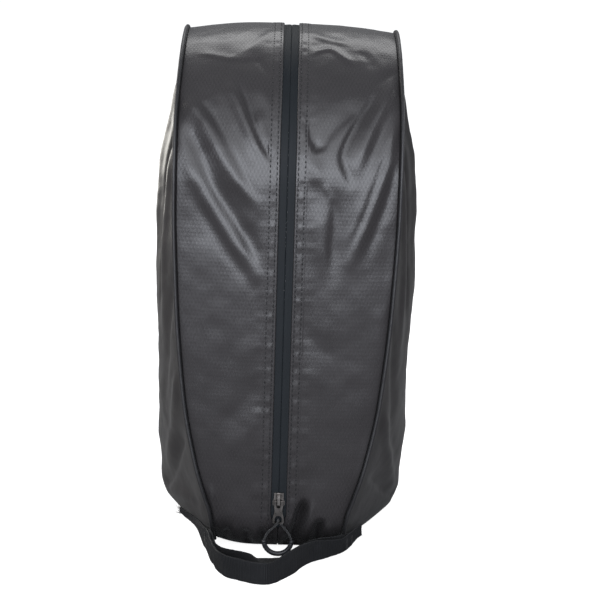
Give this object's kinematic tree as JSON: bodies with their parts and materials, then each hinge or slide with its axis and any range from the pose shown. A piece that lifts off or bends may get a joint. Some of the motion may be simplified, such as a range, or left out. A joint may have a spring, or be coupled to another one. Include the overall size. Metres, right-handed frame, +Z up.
{
  "type": "zip-round shoe bag",
  "caption": "Soft charcoal shoe bag with rounded top, flat base, piped side panels, a zip up the front, over the top and down the back, ring pull and webbing hand loop.",
  "frame": {"origin": "centre of the base's resting face", "axes": "+Z up, -Y towards the front of the bag, where the zip pull hangs, +X to the right seen from the front"},
  "size_m": [0.203, 0.282, 0.395],
  "materials": {
    "shell_fabric": "satin",
    "base_fabric": "matte",
    "webbing": "matte",
    "zip_tape": "satin",
    "coil": "satin",
    "zinc": "polished",
    "board": "matte",
    "moulded_grip": "matte",
    "cord": "matte"
  },
  "bodies": {
    "bag": {"gusset_panel_left": "shell_fabric", "side_panel_left": "shell_fabric", "piping_cover_left": "shell_fabric", "piping_cord_left": "cord", "seam_binding_left": "base_fabric", "zip_tape_left": "zip_tape", "zip_coil_left": "coil", "loop_tail_left": "webbing", "gusset_panel_right": "shell_fabric", "side_panel_right": "shell_fabric", "piping_cover_right": "shell_fabric", "piping_cord_right": "cord", "seam_binding_right": "base_fabric", "zip_tape_right": "zip_tape", "zip_coil_right": "coil", "loop_tail_right": "webbing", "base_panel": "base_fabric", "base_board": "board", "base_lining": "base_fabric", "base_binding": "base_fabric", "zip_top_stops": "zinc", "zip_bottom_stop": "zinc", "loop_bartacks": "cord"},
    "slider": {"slider_body": "zinc", "slider_bridge": "zinc", "lock_pin": "zinc"},
    "pull_tab": {"pull_tab": "zinc"},
    "pull_ring": {"pull_cord": "cord", "pull_grip": "moulded_grip"},
    "hand_loop": {"loop_outer_web": "webbing", "loop_inner_web": "webbing"},
    "mouth_left": {"mouth_edge_left": "shell_fabric"},
    "mouth_right": {"mouth_edge_right": "shell_fabric"}
  },
  "joints": [
    {"name": "slider_run", "type": "slide", "parent": "bag", "child": "slider", "axis": [0, 0, 1], "range_m": [0, 0.205]},
    {"name": "pull_tab_lift", "type": "hinge", "parent": "slider", "child": "pull_tab", "pos_m": [0, -0.1124, 0.0444], "axis": [-1, 0, 0], "range_deg": [0, 140]},
    {"name": "pull_ring_swing", "type": "hinge", "parent": "pull_tab", "child": "pull_ring", "pos_m": [0, -0.1124, 0.0302], "axis": [0, 1, 0], "range_deg": [-30, 30]},
    {"name": "hand_loop_lift", "type": "hinge", "parent": "bag", "child": "hand_loop", "pos_m": [0, -0.112, 0.0132], "axis": [-1, 0, 0], "range_deg": [0, 50]},
    {"name": "mouth_left_open", "type": "hinge", "parent": "bag", "child": "mouth_left", "pos_m": [-0.06, -0.1074, 0.135], "axis": [0, 0, -1], "range_deg": [0, 60.5]},
    {"name": "mouth_right_open", "type": "hinge", "parent": "bag", "child": "mouth_right", "pos_m": [0.06, -0.1074, 0.135], "axis": [0, 0, 1], "range_deg": [0, 60.5]}
  ],
  "couplings": [
    {"joint": "mouth_left_open", "follows": "slider_run", "rad_per_m": 5.108},
    {"joint": "mouth_right_open", "follows": "slider_run", "rad_per_m": 5.108}
  ]
}
